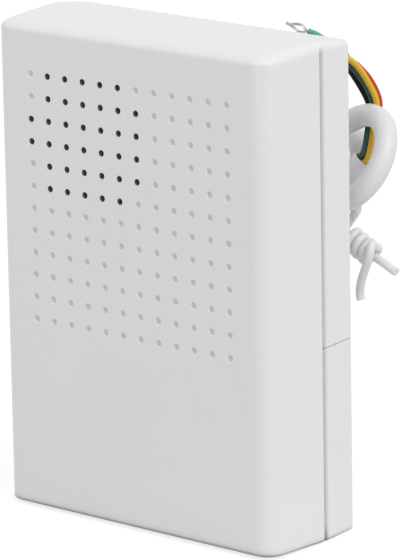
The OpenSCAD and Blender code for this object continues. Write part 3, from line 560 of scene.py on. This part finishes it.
# Twist tie: where one strand runs straight, how the other winds round it, and the loop round the cable
TIE_FROM = Vector((34.4, 9.2, 69))
TIE_TO = Vector((41.5, 9.2, 65.6))
TIE_TURNS = 3.75
TIE_BEFORE = 1.2
TIE_WOUND = 8.2
TIE_FREE = 0.2
TIE_STEPS = 30
TIE_STRAIGHT_STEPS = 4
TIE_END_ONE = [(42.5, 6.8, 69.5), (42.8, 5.7, 68.2), (42.3, 5.5, 65.8), (40.7, 6, 62.7), (39.2, 6.5, 59.4),
               (38.5, 7, 56.8), (38.8, 7, 55.1)]
TIE_END_TWO = [(43.8, 9.2, 64.6), (46, 9.2, 63.6), (47.8, 9.2, 62.8)]
TIE_LOOP = [(33, 6.2, 71.2), (33.4, 5.1, 73.4), (34.2, 3.7, 76.1), (32.9, 3.2, 77.6), (30.4, 4.7, 80.1),
            (28.1, 7.6, 81.8), (25.9, 10.5, 83.6), (24.8, 13, 84.7), (25.2, 16.3, 84.1), (26.3, 18.3, 81.9),
            (29, 17.1, 78.9), (31.9, 14, 77.2), (34.2, 11.9, 75.8), (32.7, 11.3, 73.2), (32.1, 9.9, 71)]


def make_tie():
    axis = (TIE_TO - TIE_FROM).normalized()
    above = axis.cross(Vector((0, 1, 0)))
    front = axis.cross(above)
    winding = []
    for k in range(TIE_STEPS + 1):
        q = k / TIE_STEPS
        a = pi / 2 + 2 * pi * TIE_TURNS * q
        out = (TIE_D + TIE_FREE) * (above * cos(a) + front * sin(a))
        winding.append(TIE_FROM + axis * (TIE_WOUND * q - TIE_BEFORE) + out)
    straight = [TIE_FROM + (TIE_TO - TIE_FROM) * k / TIE_STRAIGHT_STEPS
                for k in range(TIE_STRAIGHT_STEPS + 1)]
    route = behind(TIE_END_ONE[::-1] + winding[::-1] + TIE_LOOP + straight + TIE_END_TWO)
    tie = wire("tie_wire", [smooth_route(route, steps=5)], TIE_D, TIE)
    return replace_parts(tie, "twist_tie")


def make_cable():
    cable = wire("cable", [jacket], CABLE_D, JACKET)
    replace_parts(cable, "cable_lead", "cable_hank", "cable_tail")
    rim = [(JACKET_RIM_R + JACKET_RIM_EDGE * cos(a), JACKET_RIM_EDGE * sin(a))
           for a in turn(JACKET_RIM_POINTS)]
    lip = lathe("jacket_rim", jacket_end, core_up, rim, JACKET)
    tie = make_tie()


make_cable()
for core_name, core_points in core_routes.items():
    make_core(core_name, core_points)


# Leads and springs inside
def inner_wire(name, node, route, colour, steps):
    piece = wire(name, [smooth_route(route, steps)], LEAD_D, CORE_FINISH[colour])
    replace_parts(piece, node)


# The cable's own leads: each one's place in its bundle and its lane, left or right and upper or lower
INNER_LANES = {"black": (-1, 1), "green": (-1, -1), "yellow": (1, 1), "red": (1, -1)}
INNER_CORE_GAP = 1.6
INNER_END_Y = 4
LANE_Y = 0.7
LANE_GAP = 2.4
PAD_IN = 2.5
PAD_STEP = 2.5
PAD_Z = 62.5


def make_inner_leads():
    for k, (name, (side, high)) in enumerate(INNER_LANES.items()):
        apart = INNER_CORE_GAP / 2
        a = Vector((GROMMET_X + apart * side, INNER_END_Y, GROMMET_Z + apart * high))
        b = Vector((BOARD_LEFT + PAD_IN + PAD_STEP * k, BOARD_BACK_Y, PAD_Z))
        lane = LANE_Y - LANE_GAP * (1 - side) / 2
        way = [(-26, lane, 58.6 + 1.2 * high), (-8, lane, 55.5 + 1.5 * high),
               (b.x - 5, lane, 57.7 + 0.8 * high)]
        route = stub(a, (0, side - 4, 0)) + way + stub(b, (0, 3, 0))[::-1]
        inner_wire("inner_" + name, "inner_leads", route, name, steps=6)


# The speaker's leads: from its lugs to the board, bowed out behind
LUG_ANGLE = radians(20)
LUG_R = 15.3
LUG_GAP = 3.5
LUG_Y = -4.6
SPEAKER_PAD_IN = 2
LEAD_BOW = (0, 5, 0)


def make_speaker_leads():
    for s, name in ((-1, "black"), (1, "red")):
        w = LUG_GAP / 2 * s
        a = Vector((SPEAKER_X + LUG_R * cos(LUG_ANGLE) - w * sin(LUG_ANGLE), LUG_Y,
                    SPEAKER_Z - LUG_R * sin(LUG_ANGLE) - w * cos(LUG_ANGLE)))
        b = Vector((BOARD_LEFT + SPEAKER_PAD_IN, BOARD_BACK_Y, a.z))
        route = stub(a, (0, 2, 0)) + [(a + b) / 2 + Vector(LEAD_BOW)] + stub(b, (0, 2, 0))[::-1]
        inner_wire("speaker_lead_" + name, "speaker_leads", route, name, steps=6)


# The battery's leads: from the contacts' tails to the board's front
TAIL_X = 29.3
TAIL_Y = -5.1
BATTERY_PAD_Z = 63
BATTERY_LEADS = (("plus_lead", LOWER_CELL_Z, 16, "red"), ("minus_lead", UPPER_CELL_Z, 10, "black"))


def make_battery_leads():
    for node, z, u, name in BATTERY_LEADS:
        a, b = (TAIL_X, TAIL_Y, z), (BOARD_LEFT + u, BOARD_FRONT_Y, BATTERY_PAD_Z)
        route = stub(a, (0, -3, 0)) + [(31.5 + u / 4, -10, 52)] + stub(b, (0, -3, 0))[::-1]
        inner_wire("battery_" + node, node, route, name, steps=8)


SPRING_R = 4.5
SPRING_TIP_R = 2.5
SPRING_LEN = 7
SPRING_FOOT = 0.84
SPRING_TURNS = 4
SPRING_STEPS = 160


def make_springs():
    for node, s, z in (("link_spring", -1, LOWER_CELL_Z), ("minus_spring", 1, UPPER_CELL_Z)):
        route = [Vector((s * CONTACT_X, CONTACT_Y, z + SPRING_R))]
        for i in range(SPRING_STEPS + 1):
            q = i / SPRING_STEPS
            a = 2 * pi * SPRING_TURNS * q
            r = SPRING_R - (SPRING_R - SPRING_TIP_R) * q
            x = CONTACT_X - SPRING_FOOT - (SPRING_LEN - SPRING_FOOT) * q
            route.append(Vector((s * x, CONTACT_Y + r * sin(a), z + r * cos(a))))
        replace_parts(wire("coil_" + node, [route], SPRING_WIRE, CONTACT), node)


GASKET_R = 18.7
GASKET_HALF_W = 1.09
GASKET_HALF_T = 0.25
GASKET_POINTS = 16
GASKET_FULL = 1.25
GASKET_PINCH = 0.3


def make_gasket():
    """The foam ring under the speaker: a round section, drawn in a little towards its two faces."""
    section = []
    for a in turn(GASKET_POINTS):
        width = GASKET_HALF_W * min(1, GASKET_FULL - GASKET_PINCH * abs(sin(a)))
        section.append((GASKET_R + width * cos(a), GASKET_HALF_T + GASKET_HALF_T * sin(a)))
    seat = (SPEAKER_X, FRONT_Y + FRONT_WALL, SPEAKER_Z)
    gasket = lathe("gasket_ring", seat, (0, 1, 0), section, FOAM, sides=96)
    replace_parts(gasket, "speaker_gasket")


make_inner_leads()
make_speaker_leads()
make_battery_leads()
make_springs()
make_gasket()

# CAD nodes: finish and shading
CORNER_ANGLE = radians(28)
WELD_REACH = 2e-6


def shade(node, weighted):
    """Round faces shade smooth and corners stay crisp; only modifiers are added."""
    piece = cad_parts[node]
    if "custom_normal" in piece.data.attributes:
        piece.data.attributes.remove(piece.data.attributes["custom_normal"])
    piece.data.shade_smooth()
    weld = piece.modifiers.new("weld", "WELD")
    weld.merge_threshold = WELD_REACH
    split = piece.modifiers.new("corners", "EDGE_SPLIT")
    split.split_angle = CORNER_ANGLE
    if weighted:
        piece.modifiers.new("faces", "WEIGHTED_NORMAL").keep_sharp = True


def paint(node, material, *others):
    """The node's material; each of the others is (material, test on a face's middle in millimetres)."""
    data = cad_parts[node].data
    data.materials.clear()
    data.materials.append(material)
    for index, (extra, test) in enumerate(others, 1):
        data.materials.append(extra)
        for face in data.polygons:
            if test(face.center / MM):
                face.material_index = index


for cad_node, cad_finish in {
    "rear_base": SEAM, "battery_door": SEAM, "case_screws": STEEL, "board_screws": STEEL,
    "speaker_basket": STEEL, "speaker_top_plate": STEEL, "speaker_back_plate": STEEL,
    "speaker_magnet": FERRITE, "speaker_cone": PAPER, "dust_cap": PAPER, "voice_coil": COPPER,
    "circuit_board": LAMINATE, "melody_chip": RESIN,
    "link_contact": CONTACT, "plus_contact": CONTACT, "minus_contact": CONTACT,
    "cable_grommet": RUBBER, "cable_inner_end": JACKET, "cable_stop_tie": NYLON,
}.items():
    paint(cad_node, cad_finish)

# Dots: how far their own faces reach from their middles, and the drilled ones' middles from the speaker's
SKIN = 0.005
DRILLED_REACH = 1.05
BLIND_REACH = 0.7
DRILLED_FIELD_R = 18.4


def in_dot(c, drilled):
    """Whether a face's middle lies in a dot of the front's field, drilled or blind."""
    column = min(DOTS - 1, max(0, round((c.x - DOT_LEFT) / DOT_PITCH)))
    row = min(DOTS - 1, max(0, round((DOT_TOP - c.z) / DOT_PITCH)))
    x, z = DOT_LEFT + DOT_PITCH * column, DOT_TOP - DOT_PITCH * row
    in_wall = FRONT_Y + SKIN < c.y < FRONT_Y + FRONT_WALL - SKIN
    near = hypot(c.x - x, c.z - z) < (DRILLED_REACH if drilled else BLIND_REACH)
    return in_wall and near and (hypot(x - SPEAKER_X, z - SPEAKER_Z) < DRILLED_FIELD_R) == drilled


# Small parts: where the bare metal or the stripe starts on each
LUG_FROM_Y = -4.99
DISC_LEGS_TO_Y = -3.2
TRANSISTOR_LEGS_TO_Y = -1.41
RESISTOR_LEGS_FROM = RESISTOR_HALF + 0.01
CAN_STRIPE_TO_X = 28.1
CAN_STRIPE_TO_Y = 6.5
CAN_END_FROM_Y = 6.59

# The dimples' and drilled holes' faces take the painted-shade finishes
paint("front_cover", CASE, (DIMPLE_SHADE, lambda c: in_dot(c, False)), (HOLE_SHADE, lambda c: in_dot(c, True)))
paint("speaker_terminals", LAMINATE, (CONTACT, lambda c: c.y > LUG_FROM_Y))
paint("ceramic_capacitor", CERAMIC, (TINNED, lambda c: c.y < DISC_LEGS_TO_Y))
paint("transistors", RESIN, (TINNED, lambda c: c.y < TRANSISTOR_LEGS_TO_Y))
paint("resistors", RESISTOR, (TINNED, lambda c: abs(c.x - RESISTOR_X) > RESISTOR_LEGS_FROM))
paint("capacitors", SLEEVE, (STRIPE, lambda c: c.x < CAN_STRIPE_TO_X and c.y < CAN_STRIPE_TO_Y),
      (STEEL, lambda c: c.y > CAN_END_FROM_Y))
for cad_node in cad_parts:
    shade(cad_node, weighted=cad_node in ("front_cover", "rear_base", "battery_door"))

# Floor, world and light: how pale the floor is as light and as seen, and how strong the world's light is
FLOOR_REACH = 4
FLOOR_BOUNCE = 0.68
FLOOR_SEEN = 0.3
FLOOR_LIFT = 0.78
WORLD_BEHIND = 0.53
WORLD_FRONT = 0.84
KEY_FROM = (0.66, -0.02, 0.75)
KEY_SPREAD = radians(40)


def seen_directly(tree):
    """1 for rays from the camera and for reflections, 0 for the light that falls on the object."""
    path = tree.nodes.new("ShaderNodeLightPath").outputs
    total = path["Is Camera Ray"]
    for name in ("Is Glossy Ray", "Is Transmission Ray"):
        add = tree.nodes.new("ShaderNodeMath")
        add.operation = "MAXIMUM"
        tree.links.new(total, add.inputs[0])
        tree.links.new(path[name], add.inputs[1])
        total = add.outputs[0]
    return total


def scaled(tree, source, low, high, start=0.0):
    """From low where the source is at its start to high where it is 1."""
    made = tree.nodes.new("ShaderNodeMapRange")
    made.inputs["From Min"].default_value = start
    made.inputs["To Min"].default_value = low
    made.inputs["To Max"].default_value = high
    tree.links.new(source, made.inputs["Value"])
    return made.outputs["Result"]


def make_floor():
    data = bpy.data.meshes.new("floor")
    corners = [(x * FLOOR_REACH, y * FLOOR_REACH, 0) for x, y in ((-1, -1), (1, -1), (1, 1), (-1, 1))]
    data.from_pydata(corners, [], [(0, 1, 2, 3)])
    material = bpy.data.materials.new("floor")
    material.use_nodes = True
    tree = material.node_tree
    tree.nodes.clear()
    pale = tree.nodes.new("ShaderNodeBsdfDiffuse")
    tree.links.new(scaled(tree, seen_directly(tree), FLOOR_BOUNCE, FLOOR_SEEN), pale.inputs["Color"])
    lift = tree.nodes.new("ShaderNodeEmission")
    tree.links.new(scaled(tree, seen_directly(tree), 0, FLOOR_LIFT), lift.inputs["Strength"])
    both = tree.nodes.new("ShaderNodeAddShader")
    tree.links.new(pale.outputs[0], both.inputs[0])
    tree.links.new(lift.outputs[0], both.inputs[1])
    out = tree.nodes.new("ShaderNodeOutputMaterial")
    tree.links.new(both.outputs[0], out.inputs["Surface"])
    data.materials.append(material)
    ground = bpy.data.objects.new("floor", data)
    scene.collection.objects.link(ground)


def make_world():
    """White where it is seen; as light, stronger from the front than from behind."""
    world = bpy.data.worlds.new("studio")
    world.use_nodes = True
    tree = world.node_tree
    background = tree.nodes["Background"]
    background.inputs["Color"].default_value = (1, 1, 1, 1)
    towards = tree.nodes.new("ShaderNodeVectorMath")
    towards.operation = "DOT_PRODUCT"
    tree.links.new(tree.nodes.new("ShaderNodeTexCoord").outputs["Generated"], towards.inputs[0])
    towards.inputs[1].default_value = (0, -1, 0)
    soft = scaled(tree, towards.outputs["Value"], WORLD_BEHIND, WORLD_FRONT, start=-1)
    strength = tree.nodes.new("ShaderNodeMix")
    tree.links.new(seen_directly(tree), strength.inputs[0])
    tree.links.new(soft, strength.inputs[2])
    strength.inputs[3].default_value = 1.0
    tree.links.new(strength.outputs[0], background.inputs["Strength"])
    scene.world = world


def make_key():
    key = bpy.data.lights.new("key", "SUN")
    key.energy = 1.0
    key.angle = KEY_SPREAD
    lamp = bpy.data.objects.new("key", key)
    lamp.rotation_euler = Vector(KEY_FROM).to_track_quat("Z", "Y").to_euler()
    scene.collection.objects.link(lamp)


make_floor()
make_world()
make_key()
scene.view_settings.view_transform = "Standard"
